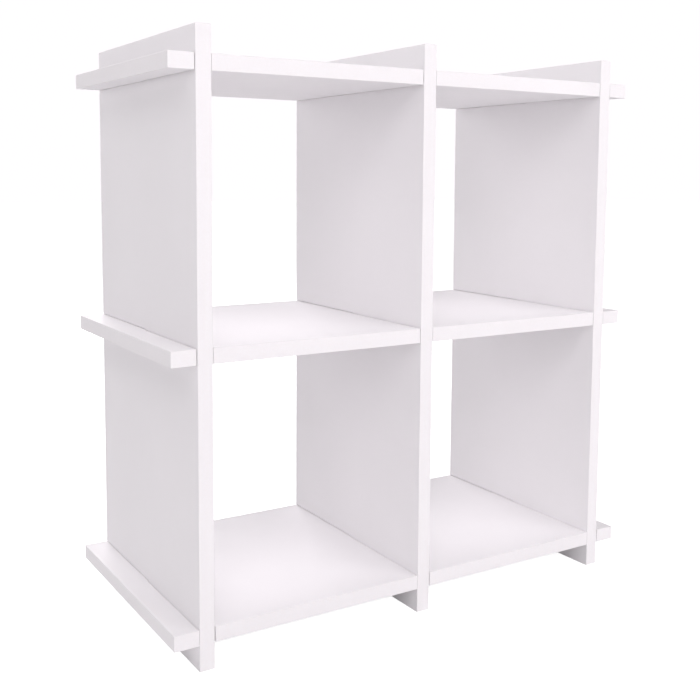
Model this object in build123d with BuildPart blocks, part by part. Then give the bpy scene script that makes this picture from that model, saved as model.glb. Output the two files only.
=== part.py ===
from build123d import *
import os

# Miniature slot-together bookcase: two bays wide and two bays high, in millimetres.
# Six flat boards cross at nine halved joints. Each upright is slotted from its back edge
# and each shelf from its front edge, both to half the depth, so at the front the uprights
# run unbroken past the shelves and every board slides apart along Y.
# Origin: middle of the footprint, on the floor. +X right, +Y to the back, +Z up.

# --- Driving dimensions ---
board_thickness = 3.0  # all six boards are cut from one sheet
depth = 52.0  # front edge to back edge, the same for uprights and shelves
bay_width = 45.5  # clear width between two neighbouring uprights
bay_height = 48.5  # clear height between two neighbouring shelves
shelf_end = 5.0  # shelf beyond the outer face of a side upright
upright_foot = 5.0  # upright below the underside of the bottom shelf
upright_horn = 5.0  # upright above the top face of the top shelf
edge_radius = 0.15  # sanded and painted edges of the boards' faces

# --- Fits of the halved joints ---
side_clearance = 0.1  # shelf slot to upright, on each side
top_clearance = 0.05  # above a shelf in an upright's slot; below, the shelf rests
end_clearance = 0.1  # between the closed ends of two slots that cross
shelf_drifts = {  # share of the side clearance by which each shelf has settled to the left
    "bottom_shelf": -0.7,
    "middle_shelf": 0.5,
    "top_shelf": 0.7,
}

# --- Places worked out from them ---
upright_pitch = bay_width + board_thickness
shelf_pitch = bay_height + board_thickness
upright_height = upright_foot + 2 * shelf_pitch + board_thickness + upright_horn
shelf_length = 2 * upright_pitch + board_thickness + 2 * shelf_end
slot_depth = (depth + end_clearance) / 2

upright_centres = {
    "left_upright": -upright_pitch,
    "middle_upright": 0.0,
    "right_upright": upright_pitch,
}
shelf_undersides = {
    "bottom_shelf": upright_foot,
    "middle_shelf": upright_foot + shelf_pitch,
    "top_shelf": upright_foot + 2 * shelf_pitch,
}

os.makedirs("parts", exist_ok=True)

# --- Uprights: cut in the YZ plane, with a slot open at the back for each shelf ---
for name, centre in upright_centres.items():
    with BuildPart() as upright:
        with BuildSketch(Plane.YZ.offset(centre - board_thickness / 2)):
            Rectangle(depth, upright_height, align=(Align.CENTER, Align.MIN))
            with Locations(*[(depth / 2, underside) for underside in shelf_undersides.values()]):
                Rectangle(
                    slot_depth,
                    board_thickness + top_clearance,
                    align=(Align.MAX, Align.MIN),
                    mode=Mode.SUBTRACT,
                )
        extrude(amount=board_thickness)
        face_edges = upright.edges().group_by(Axis.X)
        fillet(face_edges[0] + face_edges[-1], radius=edge_radius)
    upright.part.label = name
    export_step(upright.part, f"parts/{name}.step")

# --- Shelves: cut in the XY plane, with a slot open at the front for each upright ---
for name, underside in shelf_undersides.items():
    with BuildPart() as shelf:
        with BuildSketch(Plane.XY.offset(underside)):
            with Locations((-shelf_drifts[name] * side_clearance, 0)):
                Rectangle(shelf_length, depth)
                with Locations(*[(centre, -depth / 2) for centre in upright_centres.values()]):
                    Rectangle(
                        board_thickness + 2 * side_clearance,
                        slot_depth,
                        align=(Align.CENTER, Align.MIN),
                        mode=Mode.SUBTRACT,
                    )
        extrude(amount=board_thickness)
        face_edges = shelf.edges().group_by(Axis.Z)
        fillet(face_edges[0] + face_edges[-1], radius=edge_radius)
    shelf.part.label = name
    export_step(shelf.part, f"parts/{name}.step")
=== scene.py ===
import math

import bmesh
import bpy
from mathutils import Matrix, Vector, noise


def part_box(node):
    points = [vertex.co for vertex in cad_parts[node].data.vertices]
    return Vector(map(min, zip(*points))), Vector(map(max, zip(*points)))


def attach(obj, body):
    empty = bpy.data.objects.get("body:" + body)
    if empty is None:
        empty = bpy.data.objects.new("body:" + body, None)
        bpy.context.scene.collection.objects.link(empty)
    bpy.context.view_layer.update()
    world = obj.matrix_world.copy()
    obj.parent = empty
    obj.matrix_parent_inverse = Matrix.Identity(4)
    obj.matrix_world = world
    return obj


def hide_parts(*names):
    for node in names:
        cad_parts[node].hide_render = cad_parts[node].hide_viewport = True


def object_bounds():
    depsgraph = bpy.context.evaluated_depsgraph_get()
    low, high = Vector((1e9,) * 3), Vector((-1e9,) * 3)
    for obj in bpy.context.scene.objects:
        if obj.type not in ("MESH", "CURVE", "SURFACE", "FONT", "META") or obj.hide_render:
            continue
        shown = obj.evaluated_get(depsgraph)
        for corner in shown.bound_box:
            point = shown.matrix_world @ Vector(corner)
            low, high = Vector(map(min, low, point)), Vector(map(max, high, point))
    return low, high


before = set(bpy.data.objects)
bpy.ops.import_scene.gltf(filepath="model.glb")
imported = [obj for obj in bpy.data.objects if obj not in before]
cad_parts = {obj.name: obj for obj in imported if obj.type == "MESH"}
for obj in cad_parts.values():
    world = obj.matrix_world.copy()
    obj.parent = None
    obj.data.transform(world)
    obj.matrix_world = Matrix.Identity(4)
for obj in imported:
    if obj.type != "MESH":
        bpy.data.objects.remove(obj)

# Looks of the miniature bookcase: six white painted boards in cross-halved joints.
# Everything is in metres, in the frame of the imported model: +X right, +Y back, +Z up.

cad_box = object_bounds()

MM = 0.001
X, Y, Z = 0, 1, 2

# --- The boards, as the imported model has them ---
UPRIGHTS = ("left_upright", "middle_upright", "right_upright")
SHELVES = ("bottom_shelf", "middle_shelf", "top_shelf")
SIDE_PLAY = 0.1 * MM  # upright in a shelf's slot, on each side
TOP_PLAY = 0.05 * MM  # above a shelf in an upright's slot
END_PLAY = 0.1 * MM  # between the closed ends of two crossing slots

# --- Shape of the boards' surface ---
EDGE_ROUND = 0.12 * MM  # sanded and painted edges
ROUND_STEPS = 3
SHARP = math.radians(45)  # edges sharper than this are rounded
RIM = 0.35 * MM  # strip beside each edge where the paint is thinner
CELL = 2.0 * MM  # largest face of the boards' meshes
UNEVEN = 0.02 * MM  # how far the hand-sanded surface dips below flat
UNEVEN_LENGTH = 6.0 * MM  # length of those dips
RIPPLE_FINENESS = 3.1  # how many times shorter the finer dips are
RIPPLE_SHARE = 0.5  # depth of the finer dips beside the long ones

# --- Paint: colours, then textures by how many features they have in a metre ---
PAINT_DARK = (0.868, 0.855, 0.866, 1.0)
PAINT_LIGHT = (0.892, 0.879, 0.890, 1.0)
THIN_PAINT = (0.80, 0.755, 0.72, 1.0)  # where the board shows through a little
THIN_PAINT_SHARE = 0.12
PAINT_IOR = 1.48
DRIFT = 28.0  # slow drift in colour
GLOSS_PATCH = 160.0
NAP = 900.0  # the roller's nap
PEEL = 3400.0  # orange peel
FIBRE = 2600.0  # fibres on the cut edges
SPECK = 2600.0  # specks of thin paint on the rims
FIBRE_SQUEEZE = 0.12  # fibres run along the board
NAP_DEPTH = 0.02 * MM
NAP_STRENGTH = 0.22
PEEL_DEPTH = 0.008 * MM
PEEL_STRENGTH = 0.2
FIBRE_DEPTH = 0.02 * MM
FIBRE_STRENGTH = 0.5
SATIN_LOW = 0.56  # roughness of the faces
SATIN_HIGH = 0.66
CUT_EDGE_DULLNESS = 0.12  # added where the edge drank the paint
MID_LOW = 0.3  # where the middle part of a noise's range starts and ends
MID_HIGH = 0.7
THIN_START = 0.25  # rim specks below this keep their full paint
THIN_FULL = 0.75
EDGE_ON = 0.3  # cut edge up to here, by how squarely a point faces through the board
FACE_ON = 0.8  # face of the board from here on

# --- Camera ---
LENS = 51.1  # millimetres, on a sensor 36 mm wide
LENS_SHIFT = -0.115  # frames lower without tilting, so the uprights stay nearly parallel
NEAREST = 0.01
FARTHEST = 20.0
HEADING = math.radians(32.02)  # from straight ahead, towards +X
TILT = math.radians(5.37)  # below level
ROLL = math.radians(0.39)
CAMERA_PLACE = (-0.1189, -0.1866, 0.0900)

# --- Stage and light ---
FLOOR = 3.0  # half the width of the floor
FLOOR_GREY = (0.9, 0.9, 0.9, 1.0)
FLOOR_ROUGHNESS = 0.8
FLOOR_GLOW = 0.8  # extra brightness of the floor, seen by the camera alone
WHITE = (1.0, 1.0, 1.0, 1.0)
WALL_COLOR = (1.0, 0.97, 0.995, 1.0)
WALL_STRENGTH = 1.03
CEILING_STRENGTH = 0.206
CEILING_START = 0.2  # heights on a unit sphere between which wall turns to ceiling
CEILING_FULL = 0.35
LIGHT_COLOR = (1.0, 0.965, 0.992)
LIGHTS = (  # name, place from the middle of the bookcase, width in metres, power in watts
    ("front_left", (-0.3, -0.5, 0.42), 0.4, 1.5),
    ("front_right", (0.3, -0.5, 0.25), 0.4, 1.42),
    ("above_left", (-0.25, 0.0, 0.5), 0.4, 0.46),
    ("behind", (0.0, 0.5, 0.26), 0.4, 2.0),
)


# ---------------------------------------------------------------- materials


class Nodes:
    """A node tree that is built by short calls."""

    def __init__(self, tree):
        self.tree = tree
        tree.nodes.clear()

    def add(self, kind, inputs=None, **settings):
        node = self.tree.nodes.new(kind)
        for key, value in settings.items():
            setattr(node, key, value)
        for key, value in (inputs or {}).items():
            if isinstance(value, bpy.types.NodeSocket):
                self.tree.links.new(value, node.inputs[key])
            else:
                node.inputs[key].default_value = value
        return node

    def ramp(self, factor, low, high, low_color, high_color):
        node = self.add("ShaderNodeValToRGB", {"Fac": factor})
        first, last = node.color_ramp.elements
        first.position = low
        first.color = low_color
        last.position = high
        last.color = high_color
        return node.outputs["Color"]

    def spread(self, value, low, high, to_low, to_high, kind="LINEAR"):
        inputs = {
            "Value": value,
            "From Min": low,
            "From Max": high,
            "To Min": to_low,
            "To Max": to_high,
        }
        return self.add("ShaderNodeMapRange", inputs, interpolation_type=kind).outputs["Result"]

    def math(self, operation, a, b=0.0):
        return self.add("ShaderNodeMath", {0: a, 1: b}, operation=operation).outputs[0]

    def mix(self, share, a, b):
        """Colour b laid over colour a."""
        node = self.add("ShaderNodeMix", {0: share, 6: a, 7: b}, data_type="RGBA")
        return node.outputs[2]

    def noise(self, place, scale, detail=2.0, roughness=0.5):
        inputs = {"Vector": place, "Scale": scale, "Detail": detail, "Roughness": roughness}
        return self.add("ShaderNodeTexNoise", inputs).outputs["Fac"]

    def bump(self, height, strength, distance, normal=None):
        inputs = {"Height": height, "Strength": strength, "Distance": distance}
        if normal is not None:
            inputs["Normal"] = normal
        return self.add("ShaderNodeBump", inputs).outputs["Normal"]


def painted_board(name, long_axis, thin_axis):
    """White satin paint on fibreboard: rolled texture on the faces, faint fibres on the cut edges."""
    material = bpy.data.materials.new(name)
    material.use_nodes = True
    n = Nodes(material.node_tree)
    coords = n.add("ShaderNodeTexCoord")
    place = coords.outputs["Object"]

    # 1 on the cut edges of the board, 0 on its two faces
    thin = Vector([float(axis == thin_axis) for axis in range(3)])
    directions = {0: coords.outputs["Normal"], 1: thin}
    facing = n.add("ShaderNodeVectorMath", directions, operation="DOT_PRODUCT")
    across = n.math("ABSOLUTE", facing.outputs["Value"])
    cut = n.spread(across, EDGE_ON, FACE_ON, 1.0, 0.0)
    rim = n.add("ShaderNodeAttribute", attribute_name="rim").outputs["Fac"]

    # colour: slow drift of the paint, a little warmer and thinner on the rims
    drift = n.noise(place, DRIFT, detail=3.0, roughness=0.55)
    paint = n.ramp(drift, MID_LOW, MID_HIGH, PAINT_DARK, PAINT_LIGHT)
    speck = n.noise(place, SPECK, detail=1.0, roughness=0.4)
    rim_speck = n.math("MULTIPLY", rim, speck)
    thinness = n.spread(rim_speck, THIN_START, THIN_FULL, 0.0, THIN_PAINT_SHARE)
    color = n.mix(thinness, paint, THIN_PAINT)

    # relief: the roller's nap, fine orange peel, and fibres along the cut edges
    peel = n.noise(place, PEEL)
    nap = n.noise(place, NAP, detail=3.0, roughness=0.6)
    squeeze = [1.0, 1.0, 1.0]
    squeeze[long_axis] = FIBRE_SQUEEZE
    mapping = n.add("ShaderNodeMapping", {"Vector": place, "Scale": squeeze})
    fibres = n.noise(mapping.outputs["Vector"], FIBRE, detail=4.0, roughness=0.65)
    cut_fibres = n.math("MULTIPLY", fibres, cut)
    normal = n.bump(nap, NAP_STRENGTH, NAP_DEPTH)
    normal = n.bump(peel, PEEL_STRENGTH, PEEL_DEPTH, normal)
    normal = n.bump(cut_fibres, FIBRE_STRENGTH, FIBRE_DEPTH, normal)

    # gloss: satin in slightly uneven patches, duller on the cut edges
    patch = n.noise(place, GLOSS_PATCH, detail=3.0, roughness=0.6)
    satin = n.spread(patch, MID_LOW, MID_HIGH, SATIN_LOW, SATIN_HIGH)
    dull = n.math("MULTIPLY", cut, CUT_EDGE_DULLNESS)
    roughness = n.math("ADD", satin, dull)

    inputs = {"Base Color": color, "Roughness": roughness, "Normal": normal, "IOR": PAINT_IOR}
    shader = n.add("ShaderNodeBsdfPrincipled", inputs)
    n.add("ShaderNodeOutputMaterial", {"Surface": shader.outputs["BSDF"]})
    return material


# ---------------------------------------------------------------- board meshes


def grid_lines(stops):
    """Places of the mesh lines between sorted stops: a narrow rim at each stop, even cells between."""
    lines = set()
    for low, high in zip(stops, stops[1:]):
        inner_low = low + RIM + EDGE_ROUND
        inner_high = high - RIM - EDGE_ROUND
        lines.update((low, high))
        if inner_high <= inner_low:
            continue
        count = max(1, math.ceil((inner_high - inner_low) / CELL))
        lines.update(inner_low + (inner_high - inner_low) * i / count for i in range(count + 1))
    return sorted(lines)


def slotted_board(name, long_axis, thin_axis, slots, mouth):
    """A board as large as its CAD node. Its slots are spans along long_axis that run from the
    edge at y = mouth to just past the board's middle."""
    low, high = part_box(name)
    middle = (low[Y] + high[Y]) / 2
    closed = middle + math.copysign(END_PLAY / 2, middle - mouth)
    slot_sides = [side for span in slots for side in span]
    us = grid_lines(sorted([low[long_axis], high[long_axis], *slot_sides]))
    vs = grid_lines([low[Y], closed, high[Y]])

    bm = bmesh.new()
    rim = bm.verts.layers.float.new("rim")
    corners = {}

    def corner(u, v, w):
        """The vertex at u along the board, v from front to back and w through its thickness."""
        if (u, v, w) not in corners:
            place = Vector()
            place[long_axis] = u
            place[Y] = v
            place[thin_axis] = w
            corners[u, v, w] = bm.verts.new(place)
        return corners[u, v, w]

    def solid(i, j):
        """True where the board has wood between lines i and i + 1, j and j + 1."""
        if not (0 <= i < len(us) - 1 and 0 <= j < len(vs) - 1):
            return False
        u = (us[i] + us[i + 1]) / 2
        v = (vs[j] + vs[j + 1]) / 2
        in_slot = any(start < u < end for start, end in slots)
        return not (in_slot and (v - closed) * (mouth - closed) > 0)

    w_low = low[thin_axis]
    w_high = high[thin_axis]
    for i in range(len(us) - 1):
        for j in range(len(vs) - 1):
            if not solid(i, j):
                continue
            ring = [(us[i], vs[j]), (us[i + 1], vs[j]), (us[i + 1], vs[j + 1]), (us[i], vs[j + 1])]
            bm.faces.new([corner(u, v, w_high) for u, v in ring])
            bm.faces.new([corner(u, v, w_low) for u, v in reversed(ring)])
            sides = ((i, j - 1), (i + 1, j), (i, j + 1), (i - 1, j))
            for a, b, beside in zip(ring, ring[1:] + ring[:1], sides):
                if not solid(*beside):
                    edge = ((b, w_high), (a, w_high), (a, w_low), (b, w_low))
                    bm.faces.new([corner(*point, w) for point, w in edge])
    bmesh.ops.recalc_face_normals(bm, faces=bm.faces[:])

    rounded = bmesh.ops.bevel(
        bm,
        geom=[edge for edge in bm.edges if edge.calc_face_angle() > SHARP],
        offset=EDGE_ROUND,
        offset_type="OFFSET",
        segments=ROUND_STEPS,
        profile=0.5,
        affect="EDGES",
        clamp_overlap=True,
    )
    for vert in rounded["verts"]:
        vert[rim] = 1.0
    bm.normal_update()
    for vert in bm.verts:
        long_dips = noise.noise(vert.co / UNEVEN_LENGTH)
        fine_dips = noise.noise(vert.co / UNEVEN_LENGTH * RIPPLE_FINENESS)
        dip = long_dips + RIPPLE_SHARE * fine_dips
        vert.co -= vert.normal * UNEVEN * min(max(0.5 + 0.5 * dip, 0.0), 1.0)

    mesh = bpy.data.meshes.new(name + "_painted")
    bm.to_mesh(mesh)
    bm.free()
    mesh.shade_smooth()
    piece = bpy.data.objects.new(name + "_painted", mesh)
    bpy.context.scene.collection.objects.link(piece)
    piece.modifiers.new("flat_faces", "WEIGHTED_NORMAL")
    return piece


def middle_of(name, axis):
    low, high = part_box(name)
    return (low[axis] + high[axis]) / 2


def upright_slots():
    """Slots of an upright, one for each shelf, as spans of height."""
    boxes = [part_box(shelf) for shelf in SHELVES]
    return [(low[Z], high[Z] + TOP_PLAY) for low, high in boxes]


def shelf_slots(shelf):
    """Slots of a shelf, one for each upright, as spans along X. They move with the shelf when it
    has settled to one side."""
    offset = middle_of(shelf, X) - middle_of("middle_upright", X)
    boxes = [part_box(upright) for upright in UPRIGHTS]
    return [(low[X] - SIDE_PLAY + offset, high[X] + SIDE_PLAY + offset) for low, high in boxes]


def make_boards():
    upright_paint = painted_board("upright_paint", Z, X)
    shelf_paint = painted_board("shelf_paint", X, Z)
    front = cad_box[0][Y]
    back = cad_box[1][Y]
    made = []
    for name in UPRIGHTS:
        piece = slotted_board(name, Z, X, upright_slots(), back)
        made.append((name, piece, upright_paint, "upright_board"))
    for name in SHELVES:
        piece = slotted_board(name, X, Z, shelf_slots(name), front)
        made.append((name, piece, shelf_paint, "shelf_board"))
    for name, piece, paint, slot in made:
        piece.data.materials.append(paint)
        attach(piece, name)
        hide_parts(name)


# ---------------------------------------------------------------- camera


def make_camera():
    """The camera stands in front of the bookcase and to its left, a little below its top."""
    data = bpy.data.cameras.new("camera")
    data.lens = LENS
    data.shift_y = LENS_SHIFT
    data.clip_start = NEAREST
    data.clip_end = FARTHEST
    camera = bpy.data.objects.new("camera", data)
    bpy.context.scene.collection.objects.link(camera)
    level = math.radians(90)
    turn = (
        Matrix.Rotation(-HEADING, 4, "Z")
        @ Matrix.Rotation(level - TILT, 4, "X")
        @ Matrix.Rotation(ROLL, 4, "Z")
    )
    camera.matrix_world = Matrix.Translation(CAMERA_PLACE) @ turn
    bpy.context.scene.camera = camera


# ---------------------------------------------------------------- stage and light


def make_floor():
    """A plain white floor. The camera sees it a little brighter than it lights the boards, so that
    it runs into the studio's white walls without a line and only faint shadows stay on it."""
    mesh = bpy.data.meshes.new("floor")
    ring = [(-FLOOR, -FLOOR, 0), (FLOOR, -FLOOR, 0), (FLOOR, FLOOR, 0), (-FLOOR, FLOOR, 0)]
    mesh.from_pydata(ring, [], [(0, 1, 2, 3)])
    floor = bpy.data.objects.new("floor", mesh)
    bpy.context.scene.collection.objects.link(floor)
    material = bpy.data.materials.new("floor_white")
    material.use_nodes = True
    n = Nodes(material.node_tree)
    seen = n.add("ShaderNodeLightPath").outputs["Is Camera Ray"]
    inputs = {
        "Base Color": FLOOR_GREY,
        "Roughness": FLOOR_ROUGHNESS,
        "Emission Color": WHITE,
        "Emission Strength": n.math("MULTIPLY", seen, FLOOR_GLOW),
    }
    shader = n.add("ShaderNodeBsdfPrincipled", inputs)
    n.add("ShaderNodeOutputMaterial", {"Surface": shader.outputs["BSDF"]})
    mesh.materials.append(material)


def make_world():
    """White studio walls all round, under a dim ceiling."""
    world = bpy.data.worlds.new("studio")
    world.use_nodes = True
    bpy.context.scene.world = world
    n = Nodes(world.node_tree)
    direction = n.add("ShaderNodeTexCoord").outputs["Generated"]
    height = n.add("ShaderNodeSeparateXYZ", {"Vector": direction}).outputs["Z"]
    strength = n.spread(
        height, CEILING_START, CEILING_FULL, WALL_STRENGTH, CEILING_STRENGTH, "SMOOTHSTEP"
    )
    background = n.add("ShaderNodeBackground", {"Color": WALL_COLOR, "Strength": strength})
    n.add("ShaderNodeOutputWorld", {"Surface": background.outputs["Background"]})


def make_lights():
    """Soft square lights, all aimed at the middle of the bookcase."""
    centre = (cad_box[0] + cad_box[1]) / 2
    for name, offset, width, power in LIGHTS:
        data = bpy.data.lights.new(name, "AREA")
        data.shape = "SQUARE"
        data.size = width
        data.energy = power
        data.color = LIGHT_COLOR
        light = bpy.data.objects.new(name, data)
        place = centre + Vector(offset)
        light.location = place
        light.rotation_euler = (centre - place).to_track_quat("-Z", "Y").to_euler()
        bpy.context.scene.collection.objects.link(light)
    bpy.context.scene.view_settings.view_transform = "Standard"


make_boards()
make_camera()
make_floor()
make_world()
make_lights()
